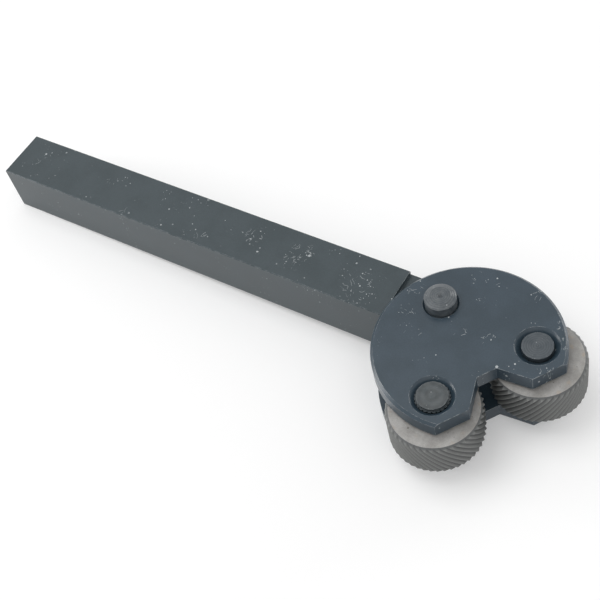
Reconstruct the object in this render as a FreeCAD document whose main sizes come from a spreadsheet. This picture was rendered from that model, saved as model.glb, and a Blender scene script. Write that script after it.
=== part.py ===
import FreeCAD, Part
import math
import os

import Sketcher

# Pivoting two-wheel knurling tool for a lathe, in millimetres.
#
# A square shank carries a thinner tang. Two equal round cheeks straddle the tang on one pivot pin, so the
# head swings until a cheek's rim meets the shank's shoulder. Two knurl wheels, cut with opposite helix
# hands, run on pins pressed into the cheeks, and the cheeks are notched between the wheels to let the work in.
#
# Frame: the origin is the centre of the shank's rear end, +X runs along the shank towards the head and +Z is
# parallel to the pins. Left and right are as seen when facing the head from in front of it: left is -Y.

SIZES = {
    # shank and tang
    "shank_width": 16.0,
    "shank_height": 16.0,
    "shank_length": 135.2,
    "shank_edge_chamfer": 0.2,
    "shank_end_chamfer": 0.2,
    "tang_side_clearance": 0.1,
    # head: the swing of each cheek from the straight position to the stop, and where the head stands
    "swing_stop_angle": 40.3,
    "head_swing_angle": 35.6,
    "cheek_gap": 13.3,
    "cheek_thickness": 4.6,
    "cheek_rim_chamfer": 0.72,
    "cheek_rim_land": 1.85,
    "cheek_chord_land": 2.15,
    "cheek_centre_reach": 14.6,
    "notch_floor_reach": 24.4,
    "notch_floor_width": 5.4,
    "notch_mouth_width": 17.3,
    # pivot pin
    "pivot_diameter": 8.5,
    "pivot_stand_out": 3.4,
    "pivot_bevel_width": 1.45,
    "pivot_bevel_height": 0.8,
    "pivot_countersink_width": 0.55,
    "pivot_mark_diameter": 1.6,
    "pivot_mark_depth": 0.6,
    # wheel pins
    "wheel_pin_diameter": 8.0,
    "wheel_pin_countersink_width": 1.75,
    "wheel_pin_reach": 23.6,
    "spline_height": 0.5,
    "spline_depth": 0.3,
    "spline_count": 24,
    "spline_top_depth": 0.8,
    # knurl wheels
    "wheel_diameter": 25.0,
    "wheel_gap": 4.2,
    "wheel_side_clearance": 0.9,
    "wheel_edge_chamfer": 0.9,
    "tooth_count": 45,
    "tooth_angle": 90.0,
    "helix_angle": 38.0,
    "blank_allowance": 0.15,
    # radial clearance of every shaft that turns in a bore
    "running_clearance": 0.05,
}

doc = FreeCAD.newDocument("knurling_tool")
sheet = doc.addObject("Spreadsheet::Sheet", "Sizes")
for row, (alias, number) in enumerate(SIZES.items(), 1):
    sheet.set(f"A{row}", alias)
    sheet.set(f"B{row}", str(number))
    sheet.setAlias(f"B{row}", alias)
doc.recompute()


def size(alias):
    """The expression that reads one cell of the sheet."""
    return f"Sizes.{alias}"


def value(expression):
    """An expression's present value as a plain number."""
    return float(sheet.evalExpression(expression))


# Sizes that follow from the driving ones, as expressions.
HALF_GAP = f"({size('cheek_gap')} / 2)"
HALF_SHANK_WIDTH = f"({size('shank_width')} / 2)"
HALF_TANG = f"({HALF_GAP} - {size('tang_side_clearance')})"
WHEEL_RADIUS = f"({size('wheel_diameter')} / 2)"
WHEEL_WIDTH = f"({size('cheek_gap')} - 2 * {size('wheel_side_clearance')})"
WHEEL_PIN_OFFSET = f"(({size('wheel_diameter')} + {size('wheel_gap')}) / 2)"
WHEEL_PIN_RADIUS = f"({size('wheel_pin_diameter')} / 2)"
PIVOT_RADIUS = f"({size('pivot_diameter')} / 2)"
SPLINE_RADIUS = f"({WHEEL_PIN_RADIUS} + {size('spline_height')})"
HEAD_HALF_THICKNESS = f"({HALF_GAP} + {size('cheek_thickness')})"

# A wheel pin's countersink keeps cheek_rim_land of flat face between itself and the cheek's rim, and
# cheek_chord_land between itself and the straight front edge.
PIN_FROM_CHEEK_CENTRE = (
    f"sqrt(({size('wheel_pin_reach')} - {size('cheek_centre_reach')})^2 + {WHEEL_PIN_OFFSET}^2)"
)
COUNTERSINK_RADIUS = f"({WHEEL_PIN_RADIUS} + {size('wheel_pin_countersink_width')})"
CHEEK_RADIUS = f"({PIN_FROM_CHEEK_CENTRE} + {COUNTERSINK_RADIUS} + {size('cheek_rim_land')})"
CHORD_REACH = f"({size('wheel_pin_reach')} + {COUNTERSINK_RADIUS} + {size('cheek_chord_land')})"

# The shoulder stands where a rim swung by swing_stop_angle touches the shank's front corner.
STOP_ANGLE = f"{size('swing_stop_angle')} * 1 deg"
RIM_PAST_CORNER = f"max(0; {size('cheek_centre_reach')} * sin({STOP_ANGLE}) - {HALF_SHANK_WIDTH})"
SHOULDER_REACH = (
    f"(sqrt({CHEEK_RADIUS}^2 - ({RIM_PAST_CORNER})^2) - {size('cheek_centre_reach')} * cos({STOP_ANGLE}))"
)
PIVOT_X = f"({size('shank_length')} + {SHOULDER_REACH})"


def origin_plane(body, role):
    """One of a body's own origin planes."""
    return next(plane for plane in body.Origin.OriginFeatures if plane.Role == role)


def new_body(label):
    body = doc.addObject("PartDesign::Body", label)
    body.Label = label
    return body


def new_sketch(body, name, role):
    sketch = body.newObject("Sketcher::SketchObject", name)
    sketch.AttachmentSupport = [(origin_plane(body, role), "")]
    sketch.MapMode = "FlatFace"
    return sketch


def place_point(sketch, edge, end, x, y):
    """Fix one end of a sketch edge at a pair of expressions, measured from the sketch's origin."""
    for kind, expression, axis in (("DistanceX", x, -2), ("DistanceY", y, -1)):
        distance = value(expression)
        if expression == "0":
            sketch.addConstraint(Sketcher.Constraint("PointOnObject", edge, end, axis))
            continue
        points = (-1, 1, edge, end) if distance > 0 else (edge, end, -1, 1)
        signed = expression if distance > 0 else f"-({expression})"
        index = sketch.addConstraint(Sketcher.Constraint(kind, *points, abs(distance)))
        sketch.setExpression(f"Constraints[{index}]", signed)


def add_outline(sketch, corners):
    """A closed run of straight lines through corners, each a pair of expressions."""
    numbers = [FreeCAD.Vector(value(x), value(y), 0) for x, y in corners]
    first = sketch.GeometryCount
    count = len(corners)
    for index, start in enumerate(numbers):
        sketch.addGeometry(Part.LineSegment(start, numbers[(index + 1) % count]), False)
    for index in range(count):
        following = first + (index + 1) % count
        sketch.addConstraint(Sketcher.Constraint("Coincident", first + index, 2, following, 1))
    for index, (x, y) in enumerate(corners):
        place_point(sketch, first + index, 1, x, y)


def add_circle(sketch, x, y, radius):
    """A circle with its centre at a pair of expressions."""
    centre = FreeCAD.Vector(value(x), value(y), 0)
    edge = sketch.addGeometry(Part.Circle(centre, FreeCAD.Vector(0, 0, 1), value(radius)), False)
    place_point(sketch, edge, 3, x, y)
    index = sketch.addConstraint(Sketcher.Constraint("Radius", edge, value(radius)))
    sketch.setExpression(f"Constraints[{index}]", radius)


def add_pad(body, sketch, name, length, symmetric=False, refine=True):
    pad = body.newObject("PartDesign::Pad", name)
    pad.Profile = sketch
    pad.SideType = "Symmetric" if symmetric else "One side"
    pad.Refine = refine
    pad.setExpression("Length", length)
    doc.recompute()
    return pad


def add_hole(body, sketch, name, refine=True):
    """Cut a sketch through the whole body, both ways."""
    before = body.Shape.Volume
    pocket = body.newObject("PartDesign::Pocket", name)
    pocket.Profile = sketch
    pocket.Refine = refine
    pocket.SideType = "Symmetric"
    pocket.Type = "ThroughAll"
    doc.recompute()
    if not body.Shape.Volume < before:
        raise RuntimeError(f"{body.Label}: {name} removes nothing")
    return pocket


def add_chamfer(body, feature, name, edges, width):
    """Bevel the numbered edges or faces of a feature at 45 degrees."""
    before = body.Shape.Volume
    chamfer = body.newObject("PartDesign::Chamfer", name)
    chamfer.Base = (feature, edges)
    chamfer.setExpression("Size", width)
    doc.recompute()
    if not body.Shape.Volume < before:
        raise RuntimeError(f"{body.Label}: {name} removes nothing")
    return chamfer


def add_turned(body, name, half_profile):
    """Turn a half profile, pairs of radius and height expressions, about the body's Z axis."""
    sketch = new_sketch(body, f"{name}_profile", "XZ_Plane")
    add_outline(sketch, half_profile)
    doc.recompute()
    turned = body.newObject("PartDesign::Revolution", name)
    turned.Profile = sketch
    turned.ReferenceAxis = (sketch, ["V_Axis"])
    turned.Angle = 360
    doc.recompute()
    return turned


def circular_edge(feature, radius, height, x=None, y=None):
    """The name of the circular edge with this radius at this height, and at this centre if one is given."""
    tolerance = 1e-4
    for index, edge in enumerate(feature.Shape.Edges, 1):
        curve = edge.Curve
        if curve.TypeId != "Part::GeomCircle" or abs(curve.Radius - value(radius)) > tolerance:
            continue
        if abs(curve.Center.z - value(height)) > tolerance:
            continue
        if x is not None and math.hypot(curve.Center.x - value(x), curve.Center.y - value(y)) > tolerance:
            continue
        return f"Edge{index}"
    raise RuntimeError(f"{feature.Name} has no circular edge of radius {value(radius):.3f}")


def seat_in_head(item, along, across, height, turned_over=False):
    """Place a piece in the swung head: along the head's axis from the pivot, across it, and above mid-plane."""
    angle = f"{size('head_swing_angle')} * 1 deg"
    x = f"{PIVOT_X} + ({along}) * cos({angle}) + ({across}) * sin({angle})"
    y = f"({across}) * cos({angle}) - ({along}) * sin({angle})"
    swing = f"rotation(vector(0; 0; 1); -{size('head_swing_angle')})"
    if turned_over:
        swing = f"{swing} * rotation(vector(1; 0; 0); 180)"
    item.setExpression("Placement", f"placement(vector({x}; {y}; {height}); {swing})")


def make_shank():
    """Square bar with bevelled long edges, a thinner round-nosed tang in front and the pivot bore in it."""
    body = new_body("shank")
    half_height = f"({size('shank_height')} / 2)"
    bevel = size("shank_edge_chamfer")
    flat_y = f"({HALF_SHANK_WIDTH} - {bevel})"
    flat_z = f"({half_height} - {bevel})"
    section = new_sketch(body, "shank_section", "YZ_Plane")
    add_outline(section, [
        (flat_y, half_height),
        (f"-{flat_y}", half_height),
        (f"-{HALF_SHANK_WIDTH}", flat_z),
        (f"-{HALF_SHANK_WIDTH}", f"-{flat_z}"),
        (f"-{flat_y}", f"-{half_height}"),
        (flat_y, f"-{half_height}"),
        (HALF_SHANK_WIDTH, f"-{flat_z}"),
        (HALF_SHANK_WIDTH, flat_z),
    ])
    bar = add_pad(body, section, "bar", size("shank_length"))

    rear = min(range(len(bar.Shape.Faces)), key=lambda index: bar.Shape.Faces[index].CenterOfMass.x)
    add_chamfer(body, bar, "rear_chamfer", [f"Face{rear + 1}"], size("shank_end_chamfer"))

    outline = new_sketch(body, "tang_outline", "XY_Plane")
    add_tang_outline(outline)
    # unrefined, so the shank's clamping faces end at the shoulder and don't run on over the tang
    add_pad(body, outline, "tang", f"2 * {HALF_TANG}", symmetric=True, refine=False)

    bore = new_sketch(body, "pivot_bore_circle", "XY_Plane")
    add_circle(bore, PIVOT_X, "0", f"{PIVOT_RADIUS} + {size('running_clearance')}")
    add_hole(body, bore, "pivot_bore", refine=False)
    return body


def add_tang_outline(sketch):
    """Two straight sides from the shoulder to the pivot, closed by a half circle about the pivot."""
    start_x = value(size("shank_length"))
    end_x = value(PIVOT_X)
    half = value(HALF_SHANK_WIDTH)
    corners = [(end_x, half), (start_x, half), (start_x, -half), (end_x, -half)]
    vectors = [FreeCAD.Vector(x, y, 0) for x, y in corners]
    for start, end in zip(vectors, vectors[1:]):
        sketch.addGeometry(Part.LineSegment(start, end), False)
    circle = Part.Circle(FreeCAD.Vector(end_x, 0, 0), FreeCAD.Vector(0, 0, 1), half)
    nose = sketch.addGeometry(Part.ArcOfCircle(circle, -math.pi / 2, math.pi / 2), False)
    sketch.addConstraint(Sketcher.Constraint("Coincident", 0, 2, 1, 1))
    sketch.addConstraint(Sketcher.Constraint("Coincident", 1, 2, 2, 1))
    sketch.addConstraint(Sketcher.Constraint("Tangent", 2, 2, nose, 1))
    sketch.addConstraint(Sketcher.Constraint("Tangent", nose, 2, 0, 1))
    sketch.addConstraint(Sketcher.Constraint("Horizontal", 0))
    place_point(sketch, nose, 3, PIVOT_X, "0")
    place_point(sketch, 1, 1, size("shank_length"), HALF_SHANK_WIDTH)
    sketch.addConstraint(Sketcher.Constraint("Vertical", 1))
    sketch.addConstraint(Sketcher.Constraint("Horizontal", 2))


def add_cheek_outline(sketch):
    """A round rim cut off by a straight front chord, with a tapering notch with a flat floor in the chord."""
    radius = value(CHEEK_RADIUS)
    centre_x = value(size("cheek_centre_reach"))
    chord_x = value(CHORD_REACH)
    chord_half = math.sqrt(radius ** 2 - (chord_x - centre_x) ** 2)
    floor = (size("notch_floor_reach"), f"{size('notch_floor_width')} / 2")
    mouth = (CHORD_REACH, f"{size('notch_mouth_width')} / 2")
    floor_x, floor_half = value(floor[0]), value(floor[1])
    mouth_half = value(mouth[1])
    points = [
        (chord_x, chord_half),
        (chord_x, mouth_half),
        (floor_x, floor_half),
        (floor_x, -floor_half),
        (chord_x, -mouth_half),
        (chord_x, -chord_half),
    ]
    vectors = [FreeCAD.Vector(x, y, 0) for x, y in points]
    for start, end in zip(vectors, vectors[1:]):
        sketch.addGeometry(Part.LineSegment(start, end), False)
    corner_angle = math.atan2(chord_half, chord_x - centre_x)
    circle = Part.Circle(FreeCAD.Vector(centre_x, 0, 0), FreeCAD.Vector(0, 0, 1), radius)
    rim = sketch.addGeometry(Part.ArcOfCircle(circle, corner_angle, 2 * math.pi - corner_angle), False)
    for index in range(len(points) - 2):
        sketch.addConstraint(Sketcher.Constraint("Coincident", index, 2, index + 1, 1))
    sketch.addConstraint(Sketcher.Constraint("Coincident", rim, 1, 0, 1))
    sketch.addConstraint(Sketcher.Constraint("Coincident", rim, 2, rim - 1, 2))
    place_point(sketch, rim, 3, size("cheek_centre_reach"), "0")
    index = sketch.addConstraint(Sketcher.Constraint("Radius", rim, radius))
    sketch.setExpression(f"Constraints[{index}]", CHEEK_RADIUS)
    place_point(sketch, 1, 1, *mouth)
    place_point(sketch, 2, 1, *floor)
    place_point(sketch, 3, 1, floor[0], f"-({floor[1]})")
    place_point(sketch, 4, 1, mouth[0], f"-({mouth[1]})")
    sketch.addConstraint(Sketcher.Constraint("Vertical", 0))
    sketch.addConstraint(Sketcher.Constraint("Vertical", 4))


def make_cheek(label, turned_over):
    """One cheek plate. Its splined pin hole lies on its own -Y side, so turning it over swaps the sides."""
    body = new_body(label)
    outline = new_sketch(body, "cheek_outline", "XY_Plane")
    add_cheek_outline(outline)
    plate = add_pad(body, outline, "plate", size("cheek_thickness"))
    rim_edge = circular_edge(plate, CHEEK_RADIUS, size("cheek_thickness"))
    add_chamfer(body, plate, "rim_chamfer", [rim_edge], size("cheek_rim_chamfer"))

    pivot_countersink = f"{PIVOT_RADIUS} + {size('pivot_countersink_width')}"
    wheel_pin_x = size("wheel_pin_reach")
    holes = (
        ("pivot_hole", "0", "0", PIVOT_RADIUS, pivot_countersink),
        ("plain_pin_hole", wheel_pin_x, WHEEL_PIN_OFFSET, WHEEL_PIN_RADIUS, COUNTERSINK_RADIUS),
        ("splined_pin_hole", wheel_pin_x, f"-{WHEEL_PIN_OFFSET}", SPLINE_RADIUS, COUNTERSINK_RADIUS),
    )
    for name, x, y, radius, mouth_radius in holes:
        circle = new_sketch(body, f"{name}_circle", "XY_Plane")
        add_circle(circle, x, y, radius)
        hole = add_hole(body, circle, name)
        mouth_edge = circular_edge(hole, radius, size("cheek_thickness"), x, y)
        add_chamfer(body, hole, f"{name}_countersink", [mouth_edge], f"{mouth_radius} - ({radius})")

    side = "-" if turned_over else ""
    seat_in_head(body, "0", "0", f"{side}{HALF_GAP}", turned_over)
    return body


def make_pivot_pin():
    """Straight pin, flush with the lower cheek and proud of the upper one, its top bevelled and centre-marked."""
    body = new_body("pivot_pin")
    radius = PIVOT_RADIUS
    low = f"-{HEAD_HALF_THICKNESS}"
    high = f"({HEAD_HALF_THICKNESS} + {size('pivot_stand_out')})"
    add_turned(body, "turned_pin", [
        ("0", low),
        (radius, low),
        (radius, f"{high} - {size('pivot_bevel_height')}"),
        (f"{radius} - {size('pivot_bevel_width')}", high),
        (f"{size('pivot_mark_diameter')} / 2", high),
        ("0", f"{high} - {size('pivot_mark_depth')}"),
    ])
    seat_in_head(body, "0", "0", "0")
    return body


def make_wheel_pin(label, across, turned_over):
    """Straight pin, flush with both cheeks, with a band of pressed splines just under its own top end."""
    body = new_body(label)
    low = f"-{HEAD_HALF_THICKNESS}"
    high = HEAD_HALF_THICKNESS
    band_top = f"({high} - {size('spline_top_depth')})"
    band_low = HALF_GAP
    add_turned(body, "turned_pin", [
        ("0", low),
        (WHEEL_PIN_RADIUS, low),
        (WHEEL_PIN_RADIUS, band_low),
        (SPLINE_RADIUS, band_low),
        (SPLINE_RADIUS, band_top),
        (WHEEL_PIN_RADIUS, band_top),
        (WHEEL_PIN_RADIUS, high),
        ("0", high),
    ])

    # Each spline groove is a V whose flanks spread to the midpoint between two splines at the band's outside.
    half_pitch = f"(pi * {SPLINE_RADIUS} / {size('spline_count')})"
    groove = new_sketch(body, "spline_groove_outline", "XY_Plane")
    outside = f"{SPLINE_RADIUS} + {size('spline_depth')}"
    add_outline(groove, [
        (f"{SPLINE_RADIUS} - {size('spline_depth')}", "0"),
        (outside, half_pitch),
        (outside, f"-{half_pitch}"),
    ])
    before = body.Shape.Volume
    cut = body.newObject("PartDesign::Pocket", "spline_groove")
    cut.Profile = groove
    cut.SideType = "One side"
    cut.Reversed = True
    cut.Type = "ThroughAll"
    doc.recompute()
    if not body.Shape.Volume < before:
        raise RuntimeError(f"{label}: the spline groove removes nothing")
    pattern = body.newObject("PartDesign::PolarPattern", "splines")
    pattern.Originals = [cut]
    pattern.Axis = (groove, ["N_Axis"])
    pattern.Angle = 360
    pattern.setExpression("Occurrences", size("spline_count"))
    body.Tip = pattern
    doc.recompute()
    seat_in_head(body, size("wheel_pin_reach"), across, "0", turned_over)
    return body


def toothed_section(radius):
    """Closed outline across the wheel: sharp teeth whose flanks stand at tooth_angle across the helix."""
    count = int(value(size("tooth_count")))
    helix = math.radians(value(size("helix_angle")))
    half_angle = math.radians(value(size("tooth_angle")) / 2)
    half_pitch = math.pi / count
    depth = radius * half_pitch * math.cos(helix) / math.tan(half_angle)
    points = []
    for step in range(2 * count):
        reach = radius - depth * (step % 2)
        angle = step * half_pitch
        points.append(FreeCAD.Vector(reach * math.cos(angle), reach * math.sin(angle), 0))
    return Part.Wire(Part.makePolygon(points + points[:1]).Edges)


def toothed_bar(left_hand):
    """The toothed section swept along the axis while an auxiliary helix turns it."""
    radius = value(WHEEL_RADIUS)
    width = value(WHEEL_WIDTH)
    lead = 2 * math.pi * radius / math.tan(math.radians(value(size("helix_angle"))))
    low = FreeCAD.Vector(0, 0, -width / 2)
    axis_line = Part.makeLine(low, FreeCAD.Vector(0, 0, width / 2))
    helix = Part.makeHelix(lead, width, radius, 0, left_hand)
    section = toothed_section(radius)
    helix.translate(low)
    section.translate(low)
    sweep = Part.BRepOffsetAPI.MakePipeShell(Part.Wire([axis_line]))
    sweep.setAuxiliarySpine(Part.Wire(helix.Edges), True, 0)
    # the flanks follow the helix to a thousandth of a millimetre, which keeps their surfaces light
    sweep.setTolerance(1e-3, 1e-3, 1e-2)
    sweep.add(section)
    sweep.build()
    sweep.makeSolid()
    return sweep.shape()


def make_wheel(label, across, left_hand):
    """Knurl wheel: a bevelled, bored blank that keeps only what lies inside the toothed bar."""
    blank = new_body(f"{label}_blank")
    bore_radius = f"({WHEEL_PIN_RADIUS} + {size('running_clearance')})"
    face_radius = f"({WHEEL_RADIUS} - {size('wheel_edge_chamfer')})"
    side = f"({WHEEL_WIDTH} / 2)"
    # the blank is a little larger than the toothed bar, on the same 45 degree bevels
    rim_radius = f"({WHEEL_RADIUS} + {size('blank_allowance')})"
    rim_side = f"({side} - {size('wheel_edge_chamfer')} - {size('blank_allowance')})"
    add_turned(blank, "turned_blank", [
        (bore_radius, f"-{side}"),
        (face_radius, f"-{side}"),
        (rim_radius, f"-{rim_side}"),
        (rim_radius, rim_side),
        (face_radius, side),
        (bore_radius, side),
    ])
    bar = doc.addObject("Part::Feature", f"{label}_toothed_bar")
    bar.Shape = toothed_bar(left_hand)
    wheel = doc.addObject("Part::Common", label)
    wheel.Label = label
    wheel.Base = blank
    wheel.Tool = bar
    doc.recompute()
    seat_in_head(wheel, size("wheel_pin_reach"), across, "0")
    return wheel


LEFT = f"-{WHEEL_PIN_OFFSET}"
RIGHT = WHEEL_PIN_OFFSET

pieces = [
    make_shank(),
    make_cheek("upper_cheek", turned_over=False),
    make_cheek("lower_cheek", turned_over=True),
    make_pivot_pin(),
    make_wheel_pin("left_wheel_pin", LEFT, turned_over=False),
    make_wheel_pin("right_wheel_pin", RIGHT, turned_over=True),
    make_wheel("left_knurl_wheel", LEFT, left_hand=True),
    make_wheel("right_knurl_wheel", RIGHT, left_hand=False),
]
doc.recompute()

for item in doc.Objects:
    if {"Invalid", "Error"} & set(item.State):
        raise RuntimeError(f"{item.Label} failed: {item.State}")
for piece in pieces:
    shape = piece.Shape
    if shape.isNull() or not shape.isValid() or len(shape.Solids) != 1:
        raise RuntimeError(f"{piece.Label} is not one valid solid")

os.makedirs("parts", exist_ok=True)
for piece in pieces:
    piece.Shape.exportStep(f"parts/{piece.Label}.step")
    box = piece.Shape.BoundBox
    print(f"{piece.Label}: {piece.Shape.Volume:.1f} mm3, x {box.XMin:.2f} to {box.XMax:.2f}, "
          f"y {box.YMin:.2f} to {box.YMax:.2f}, z {box.ZMin:.2f} to {box.ZMax:.2f}")
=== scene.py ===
import math

import bpy
from mathutils import Matrix, Quaternion, Vector


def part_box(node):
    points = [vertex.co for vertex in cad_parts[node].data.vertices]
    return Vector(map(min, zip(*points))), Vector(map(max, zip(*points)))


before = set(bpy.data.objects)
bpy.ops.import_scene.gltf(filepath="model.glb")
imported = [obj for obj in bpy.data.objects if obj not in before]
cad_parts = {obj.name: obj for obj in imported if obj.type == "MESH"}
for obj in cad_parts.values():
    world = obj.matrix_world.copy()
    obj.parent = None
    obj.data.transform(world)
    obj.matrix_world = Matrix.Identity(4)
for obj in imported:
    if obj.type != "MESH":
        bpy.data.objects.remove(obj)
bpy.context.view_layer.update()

# Looks of a two-wheel knurling tool: black-oxided shank and cheeks, steel pins and bare steel knurl wheels.
# Places are read from the CAD nodes. Inside the materials every length is in millimetres.

MM = 0.001


# ---------------------------------------------------------------- places read from the CAD

def middle(node):
    """The centre of a CAD node's box."""
    low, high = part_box(node)
    return (low + high) / 2


PIVOT = middle("pivot_pin")
LEFT_PIN = middle("left_wheel_pin")
RIGHT_PIN = middle("right_wheel_pin")
LEFT_WHEEL = middle("left_knurl_wheel")
RIGHT_WHEEL = middle("right_knurl_wheel")
SHANK_LOW, SHANK_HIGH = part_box("shank")
CHEEK_LOW, CHEEK_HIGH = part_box("upper_cheek")
HEAD_AXIS = ((LEFT_PIN + RIGHT_PIN) / 2 - PIVOT).to_2d().normalized()
HEAD_TURN = math.atan2(HEAD_AXIS.y, HEAD_AXIS.x)
WHEEL_RADIUS = (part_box("left_knurl_wheel")[1] - LEFT_WHEEL).x / MM
HALF_SHANK = SHANK_HIGH.y / MM


# ---------------------------------------------------------------- node helpers

class Look:
    """A node material being built. Sockets and plain values may be mixed freely in every helper."""

    def __init__(self, name):
        self.material = bpy.data.materials.new(name)
        self.material.use_nodes = True
        self.tree = self.material.node_tree
        self.tree.nodes.clear()
        self.output = self.tree.nodes.new("ShaderNodeOutputMaterial")
        self.shader = self.tree.nodes.new("ShaderNodeBsdfPrincipled")
        self.tree.links.new(self.shader.outputs[0], self.output.inputs["Surface"])
        place = self.tree.nodes.new("ShaderNodeTexCoord")
        self.raw = place.outputs["Object"]
        self.normal = place.outputs["Normal"]

    def put(self, socket, value):
        if isinstance(value, bpy.types.NodeSocket):
            self.tree.links.new(value, socket)
        else:
            socket.default_value = value

    def node(self, kind, values, **settings):
        made = self.tree.nodes.new(kind)
        for key, setting in settings.items():
            setattr(made, key, setting)
        for key, value in values.items():
            self.put(made.inputs[key], value)
        return made

    def math(self, operation, first, second=0.0, clamp=False):
        return self.node("ShaderNodeMath", {0: first, 1: second}, operation=operation, use_clamp=clamp).outputs[0]

    def vector(self, operation, first, second=(0, 0, 0)):
        return self.node("ShaderNodeVectorMath", {0: first, 1: second}, operation=operation).outputs[0]

    def at(self, origin, turn=0.0, stretch=(1, 1, 1)):
        """Position in millimetres from an origin, turned about Z by minus turn, then scaled on each axis."""
        moved = self.vector("SUBTRACT", self.raw, tuple(origin))
        turned = self.node("ShaderNodeVectorRotate", {"Vector": moved, "Angle": -turn}, rotation_type="Z_AXIS")
        scale = tuple(factor / MM for factor in stretch)
        return self.vector("MULTIPLY", turned.outputs[0], scale)

    def parts(self, vector):
        return self.node("ShaderNodeSeparateXYZ", {0: vector}).outputs

    def noise(self, vector, scale, detail=2.0, roughness=0.5, distortion=0.0):
        values = {"Vector": vector, "Scale": scale, "Detail": detail, "Roughness": roughness}
        values["Distortion"] = distortion
        return self.node("ShaderNodeTexNoise", values).outputs["Fac"]

    def cells(self, vector, scale):
        """Distance to the nearest of a scatter of points, and that point's random colour."""
        made = self.node("ShaderNodeTexVoronoi", {"Vector": vector, "Scale": scale})
        return made.outputs["Distance"], made.outputs["Color"]

    def between(self, value, low, high, out_low=0.0, out_high=1.0):
        """A smooth step of value from low to high."""
        values = {"Value": value, 1: low, 2: high, 3: out_low, 4: out_high}
        return self.node("ShaderNodeMapRange", values, interpolation_type="SMOOTHSTEP").outputs[0]

    def mix(self, factor, first, second):
        made = self.node("ShaderNodeMix", {}, data_type="RGBA")
        self.put(made.inputs[0], factor)
        self.put(made.inputs[6], first)
        self.put(made.inputs[7], second)
        return made.outputs[2]

    def dim(self, colour, amount):
        """The colour times an amount."""
        return self.vector("SCALE", colour) if amount is None else self.scale(colour, amount)

    def scale(self, colour, amount):
        made = self.node("ShaderNodeVectorMath", {0: colour}, operation="SCALE")
        self.put(made.inputs["Scale"], amount)
        return made.outputs[0]

    def radius(self, vector):
        """Distance from the Z axis."""
        flat = self.vector("MULTIPLY", vector, (1, 1, 0))
        return self.node("ShaderNodeVectorMath", {0: flat}, operation="LENGTH").outputs["Value"]

    def edges(self, width):
        """1 on the object's convex and concave edges, falling to 0 about width millimetres away."""
        soft = self.node("ShaderNodeBevel", {"Radius": width * MM}, samples=6).outputs[0]
        sharp = self.node("ShaderNodeNewGeometry", {}).outputs["Normal"]
        dot = self.node("ShaderNodeVectorMath", {0: soft, 1: sharp}, operation="DOT_PRODUCT").outputs["Value"]
        return self.between(dot, 0.995, 0.9, 0.0, 1.0)

    def bump(self, height, distance, strength=1.0):
        values = {"Height": height, "Distance": distance * MM, "Strength": strength}
        return self.node("ShaderNodeBump", values).outputs[0]

    def finish(self, colour, roughness, normal, metallic, ior=1.5):
        self.put(self.shader.inputs["Base Color"], colour)
        self.put(self.shader.inputs["Roughness"], roughness)
        self.put(self.shader.inputs["Normal"], normal)
        self.shader.inputs["Metallic"].default_value = metallic
        self.shader.inputs["IOR"].default_value = ior
        return self.material


def rgb(red, green, blue):
    return (red, green, blue, 1.0)


# ---------------------------------------------------------------- black oxide on steel

def hairs(look, here, turn, spacing, length, width, share):
    """Short hair scratches about spacing apart, all along one direction: 1 on a scratch."""
    turned = look.node("ShaderNodeVectorRotate", {"Vector": here, "Angle": turn}, rotation_type="Z_AXIS")
    bend = look.noise(here, 0.5, 1.0)
    bent = look.node("ShaderNodeCombineXYZ", {"X": 0.0, "Y": look.math("MULTIPLY", bend, 2.2)}).outputs[0]
    line = look.vector("ADD", turned.outputs[0], bent)
    cell = look.vector("MULTIPLY", line, (1 / length, 1 / spacing, 1 / spacing))
    distance, colour = look.cells(cell, 1.0)
    chance, offset, _ = look.parts(colour)
    made = look.tree.nodes["" + distance.node.name]
    away = look.vector("SUBTRACT", made.inputs["Vector"].links[0].from_socket, made.outputs["Position"])
    off = look.parts(away)
    across = look.math("ABSOLUTE", off[1])
    along = look.math("ABSOLUTE", off[0])
    thin = look.math("LESS_THAN", across, width / 2 / spacing)
    short = look.math("LESS_THAN", along, look.math("MULTIPLY", offset, 0.42))
    shown = look.math("LESS_THAN", chance, share)
    return look.math("MULTIPLY", look.math("MULTIPLY", thin, short), shown)


def specks(look, here, spacing, largest, share):
    """Small chips scattered about spacing millimetres apart, up to largest across."""
    distance, colour = look.cells(here, 1 / spacing)
    chance, size, _ = look.parts(colour)
    reach = look.math("MULTIPLY", look.math("MULTIPLY", size, size), largest / 2 / spacing)
    chip = look.math("LESS_THAN", distance, reach)
    shown = look.math("LESS_THAN", chance, share)
    return look.math("MULTIPLY", chip, shown)


def crowding(look, here, spots, base):
    """How thickly marks lie: base everywhere, rising to 1 inside spots, (x, y, radius) in millimetres."""
    crowd = base
    for x, y, reach in spots:
        away = look.vector("SUBTRACT", here, (x, y, 0))
        near = look.between(look.radius(away), reach, reach * 0.2)
        crowd = look.math("MAXIMUM", crowd, near)
    return crowd


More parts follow.
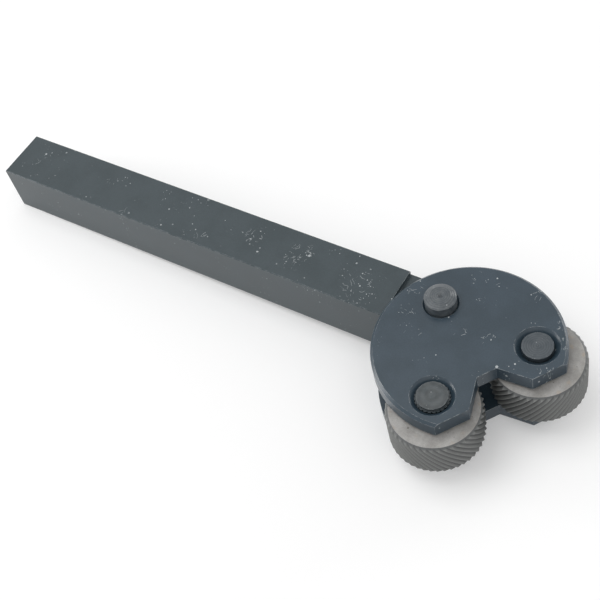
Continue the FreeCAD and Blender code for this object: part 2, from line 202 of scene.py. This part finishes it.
def black_oxide(name, origin, turn, dark, light, busy_spots, worn_edge_and_highlight_share):
    """Oiled black oxide: cloudy tone, fine grain, chips and hair scratches, and edges painted lighter, partly as
    worn bare metal and partly as painted highlight.
    """
    look = Look(name)
    here = look.at(origin, turn)
    cloud = look.noise(here, 0.11, 3.0, 0.55)
    grain = look.noise(here, 2.6, 3.0, 0.6)
    tone = look.mix(look.between(cloud, 0.35, 0.65), dark, light)
    tone = look.scale(tone, look.between(grain, 0.25, 0.75, 0.92, 1.08))

    patchy = look.between(look.noise(here, 0.13, 2.0), 0.48, 0.66, 0.12, 0.5)
    crowd = crowding(look, here, busy_spots, patchy)
    few = look.math("MULTIPLY", crowd, 0.9)
    chips = look.math("MAXIMUM", specks(look, here, 1.5, 0.8, 0.5), specks(look, here, 0.7, 0.4, 0.5))
    lines = look.math("MAXIMUM", hairs(look, here, 0.6, 0.9, 3.0, 0.10, 0.30),
                      hairs(look, here, -0.5, 1.0, 2.4, 0.09, 0.30))
    lines = look.math("MAXIMUM", lines, hairs(look, here, 1.7, 1.1, 2.6, 0.09, 0.30))
    gate = look.noise(here, 0.75, 3.0, 0.7)
    lines = look.math("MULTIPLY", lines, look.between(look.math("ADD", gate, few), 0.92, 1.12))
    chips = look.math("MULTIPLY", chips, look.between(look.math("ADD", gate, few), 0.72, 0.95))
    marks = look.math("MAXIMUM", chips, look.math("MULTIPLY", lines, 0.6))
    colour = look.mix(look.math("MULTIPLY", marks, 0.75), tone, rgb(0.50, 0.53, 0.54))

    # Edges painted lighter in patches: partly worn bare metal, partly a painted highlight along the edges.
    worn_edge_and_highlight = look.math("MULTIPLY", look.edges(0.25), look.between(look.noise(here, 0.5, 4.0, 0.75), 0.40, 0.60))
    colour = look.mix(look.math("MULTIPLY", worn_edge_and_highlight, worn_edge_and_highlight_share), colour, rgb(0.42, 0.45, 0.46))

    roughness = look.math("ADD", look.between(cloud, 0.3, 0.7, 0.27, 0.31), look.math("MULTIPLY", grain, 0.05))
    height = look.math("SUBTRACT", look.math("MULTIPLY", grain, 0.4), marks)
    return look.finish(colour, roughness, look.bump(height, 0.008, 0.5), 0.0)


# ---------------------------------------------------------------- pins and wheels

def turned_steel(name, axis, dark, light, ring_pitch, ring_depth, shade_radius):
    """Hardened steel with turning rings about an axis. Outside a given radius it is painted near-black, as
    painted shade in the gap between the pin's end and its countersink.
    """
    look = Look(name)
    here = look.at(axis)
    radius = look.radius(here)
    uneven = look.math("MULTIPLY", look.noise(here, 0.8, 2.0), 0.25)
    phase = look.math("MULTIPLY", look.math("ADD", radius, uneven), 2 * math.pi / ring_pitch)
    rings = look.math("SINE", phase)
    cloud = look.noise(here, 0.5, 3.0, 0.6)
    tone = look.mix(look.between(cloud, 0.35, 0.65), dark, light)
    tone = look.scale(tone, look.between(rings, -1.0, 1.0, 0.85, 1.12))
    chips = specks(look, here, 0.9, 0.45, 0.4)
    colour = look.mix(look.math("MULTIPLY", chips, 0.5), tone, rgb(0.5, 0.52, 0.53))
    # Edges painted lighter in patches: partly worn steel, partly a painted highlight along the edges.
    worn_edge_and_highlight = look.math("MULTIPLY", look.edges(0.18), look.between(look.noise(here, 0.9, 3.0), 0.42, 0.6))
    colour = look.mix(look.math("MULTIPLY", worn_edge_and_highlight, 0.4), colour, rgb(0.42, 0.45, 0.46))
    # Painted shade: near-black beyond the given radius, for the shaded gap around the pin's end in its
    # countersink.
    colour = look.mix(look.math("GREATER_THAN", radius, shade_radius), colour, rgb(0.022, 0.032, 0.038))
    height = look.math("MULTIPLY", rings, 0.5)
    return look.finish(colour, 0.32, look.bump(height, ring_depth, 1.0), 0.0)


def knurl_steel(name, axis, stain):
    """Bare tool steel: ground, stained sides, and teeth painted darker towards their roots as painted shade, and
    lighter still on their crests.
    """
    look = Look(name)
    here = look.at(axis)
    radius = look.radius(here)
    cloud = look.noise(here, 0.22, 4.0, 0.65)
    grain = look.noise(here, 3.2, 3.0, 0.7)
    side = look.mix(look.between(cloud, 0.35, 0.65), rgb(0.30, 0.29, 0.275), rgb(0.42, 0.41, 0.395))
    side = look.mix(look.between(look.noise(here, 0.35, 2.0), 0.56, 0.7, 0.0, 0.6), side, stain)
    side = look.scale(side, look.between(grain, 0.25, 0.75, 0.90, 1.10))
    spots = specks(look, here, 1.6, 0.7, 0.35)
    side = look.mix(look.math("MULTIPLY", spots, 0.55), side, rgb(0.07, 0.06, 0.05))

    # Painted shade: the teeth are painted darker towards their roots, where the shade between the teeth falls.
    root_shade = look.between(radius, WHEEL_RADIUS - 0.68, WHEEL_RADIUS - 0.15)
    tooth = look.mix(root_shade, rgb(0.10, 0.105, 0.105), rgb(0.20, 0.205, 0.20))
    tooth = look.scale(tooth, look.between(grain, 0.25, 0.75, 0.88, 1.12))
    crest = look.between(radius, WHEEL_RADIUS - 0.10, WHEEL_RADIUS - 0.02)
    tooth = look.mix(look.math("MULTIPLY", crest, look.between(cloud, 0.3, 0.7, 0.2, 0.7)), tooth,
                     rgb(0.30, 0.305, 0.30))
    upright = look.math("ABSOLUTE", look.parts(look.normal)[2])
    colour = look.mix(look.between(upright, 0.75, 0.9), tooth, side)
    return look.finish(colour, look.between(grain, 0.2, 0.8, 0.45, 0.58), look.bump(grain, 0.012, 0.5), 0.0)


def dress(node, material):
    """Give a CAD node one material."""
    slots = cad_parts[node].material_slots
    for slot in slots:
        slot.material = material


# Where the finish is most scratched: along the head's axis from the pivot, across it, and how far round.
HEAD_SPOTS = [
    (15.5, 4.9, 3.4),
    (11.3, 0.0, 3.2),
    (4.6, -9.3, 2.6),
    (-1.8, -9.5, 4.4),
    (-7.3, -4.3, 2.8),
    (-6.5, -13.4, 3.0),
    (3.7, -1.7, 2.0),
    (10.6, 22.3, 3.2),
    (21.5, 23.0, 3.0),
    (26.5, 20.5, 3.0),
    (31.0, 12.5, 3.4),
    (24.5, -2.5, 2.6),
    (1.7, 16.2, 2.6),
]
# The same on the shank, along it from the pivot and across it.
SHANK_SPOTS = [
    (-24.0, -2.0, 9.0),
    (-45.0, 1.0, 7.0),
    (-60.0, 1.5, 5.0),
    (-75.0, -4.5, 3.5),
    (-102.0, -6.5, 3.0),
    (-141.0, -1.0, 2.5),
]

OXIDE_SHANK = black_oxide("black_oxide_shank", PIVOT, 0.0, rgb(0.031, 0.046, 0.053), rgb(0.037, 0.053, 0.061),
                          SHANK_SPOTS, 0.7)
OXIDE_CHEEK = black_oxide("black_oxide_cheek", PIVOT, HEAD_TURN, rgb(0.026, 0.044, 0.060),
                          rgb(0.032, 0.052, 0.071), HEAD_SPOTS, 0.8)
# Radius beyond which the wheel pins are painted near-black as painted shade; the pivot's radius is larger than
# the pin, so it gets none.
PIN_SHADE_RADIUS = 4.05
NO_PAINTED_SHADE_RADIUS = 9.0
dress("shank", OXIDE_SHANK)
dress("upper_cheek", OXIDE_CHEEK)
dress("lower_cheek", OXIDE_CHEEK)
dress("pivot_pin", turned_steel("turned_pivot_steel", PIVOT, rgb(0.060, 0.072, 0.082), rgb(0.100, 0.112, 0.120),
                                0.55, 0.02, NO_PAINTED_SHADE_RADIUS))
dress("left_wheel_pin", turned_steel("turned_left_pin_steel", LEFT_PIN, rgb(0.040, 0.050, 0.055),
                                     rgb(0.068, 0.078, 0.082), 2.0, 0.004, PIN_SHADE_RADIUS))
dress("right_wheel_pin", turned_steel("turned_right_pin_steel", RIGHT_PIN, rgb(0.040, 0.052, 0.062),
                                      rgb(0.060, 0.073, 0.084), 0.6, 0.03, PIN_SHADE_RADIUS))
dress("left_knurl_wheel", knurl_steel("left_wheel_steel", LEFT_WHEEL, rgb(0.36, 0.31, 0.26)))
dress("right_knurl_wheel", knurl_steel("right_wheel_steel", RIGHT_WHEEL, rgb(0.40, 0.32, 0.24)))


# ---------------------------------------------------------------- floor, surround and lamps

def floor():
    """A pale sheet that touches the shank's rear lower edge and the lower cheek, as the tool lies on a table."""
    lower_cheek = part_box("lower_cheek")[0]
    slope = math.atan2(SHANK_LOW.z - lower_cheek.z, lower_cheek.x - SHANK_LOW.x)
    half = 3.0
    mesh = bpy.data.meshes.new("floor")
    corners = [(-half, -half), (half, -half), (half, half), (-half, half)]
    mesh.from_pydata([(x, y, SHANK_LOW.z - x * math.tan(slope)) for x, y in corners], [], [(0, 1, 2, 3)])
    sheet = bpy.data.objects.new("floor", mesh)
    bpy.context.scene.collection.objects.link(sheet)
    look = Look("pale_floor")
    look.tree.nodes.remove(look.shader)
    ray = look.tree.nodes.new("ShaderNodeLightPath")
    plain = look.node("ShaderNodeBsdfDiffuse", {"Color": rgb(0.80, 0.80, 0.80)})
    seen = look.math("MAXIMUM", ray.outputs["Is Camera Ray"], ray.outputs["Is Glossy Ray"])
    lift = look.node("ShaderNodeEmission", {"Strength": look.math("MULTIPLY", seen, 0.22)})
    both = look.node("ShaderNodeAddShader", {0: plain.outputs[0], 1: lift.outputs[0]})
    look.put(look.output.inputs["Surface"], both.outputs[0])
    mesh.materials.append(look.material)


def surround():
    """White to the camera and in reflections, softer as a light."""
    world = bpy.data.worlds.new("surround")
    world.use_nodes = True
    tree = world.node_tree
    tree.nodes.clear()
    ray = tree.nodes.new("ShaderNodeLightPath")
    seen = tree.nodes.new("ShaderNodeMath")
    seen.operation = "MAXIMUM"
    tree.links.new(ray.outputs["Is Camera Ray"], seen.inputs[0])
    tree.links.new(ray.outputs["Is Glossy Ray"], seen.inputs[1])
    strength = tree.nodes.new("ShaderNodeMapRange")
    strength.inputs["To Min"].default_value = 0.6
    strength.inputs["To Max"].default_value = 1.0
    tree.links.new(seen.outputs[0], strength.inputs["Value"])
    background = tree.nodes.new("ShaderNodeBackground")
    background.inputs["Color"].default_value = rgb(1, 1, 1)
    tree.links.new(strength.outputs[0], background.inputs["Strength"])
    output = tree.nodes.new("ShaderNodeOutputWorld")
    tree.links.new(background.outputs[0], output.inputs["Surface"])
    bpy.context.scene.world = world


def softbox(name, direction, distance, width, power, aim):
    lamp = bpy.data.lights.new(name, "AREA")
    lamp.shape = "SQUARE"
    lamp.size = width
    lamp.energy = power
    holder = bpy.data.objects.new(name, lamp)
    away = Vector(direction).normalized()
    holder.location = aim + away * distance
    holder.rotation_mode = "QUATERNION"
    holder.rotation_quaternion = (-away).to_track_quat("-Z", "Y")
    bpy.context.scene.collection.objects.link(holder)


floor()
surround()
softbox("overhead", (-0.36, -0.07, 0.92), 0.7, 0.45, 1.6, PIVOT)
softbox("low_left", (-0.91, -0.38, 0.17), 0.7, 0.28, 1.4, PIVOT)
softbox("low_back", (0.37, 0.92, 0.17), 0.7, 0.28, 1.4, PIVOT)
softbox("fill", (0.43, -0.43, 0.79), 0.8, 0.45, 0.6, PIVOT)


# ---------------------------------------------------------------- camera

# Offset from the point where the pivot's axis meets the upper cheek's top, and the camera's turn.
CAMERA_OFFSET = Vector((96.107, -145.599, 242.385)) * MM
CAMERA_RIGHT = Vector((0.841269, 0.510879, -0.176831))
CAMERA_UP = Vector((-0.329804, 0.744160, 0.580909))
CAMERA_LENS = 68.88

camera = bpy.data.cameras.new("camera")
camera.lens = CAMERA_LENS
camera.sensor_width = 36.0
camera.clip_start = 0.01
camera.clip_end = 20.0
eye = bpy.data.objects.new("camera", camera)
columns = (CAMERA_RIGHT, CAMERA_UP, CAMERA_RIGHT.cross(CAMERA_UP))
eye.matrix_world = Matrix.Translation(Vector((PIVOT.x, PIVOT.y, CHEEK_HIGH.z)) + CAMERA_OFFSET) @ Matrix(
    columns).transposed().to_4x4()
bpy.context.scene.collection.objects.link(eye)
bpy.context.scene.camera = eye
bpy.context.scene.view_settings.view_transform = "Standard"
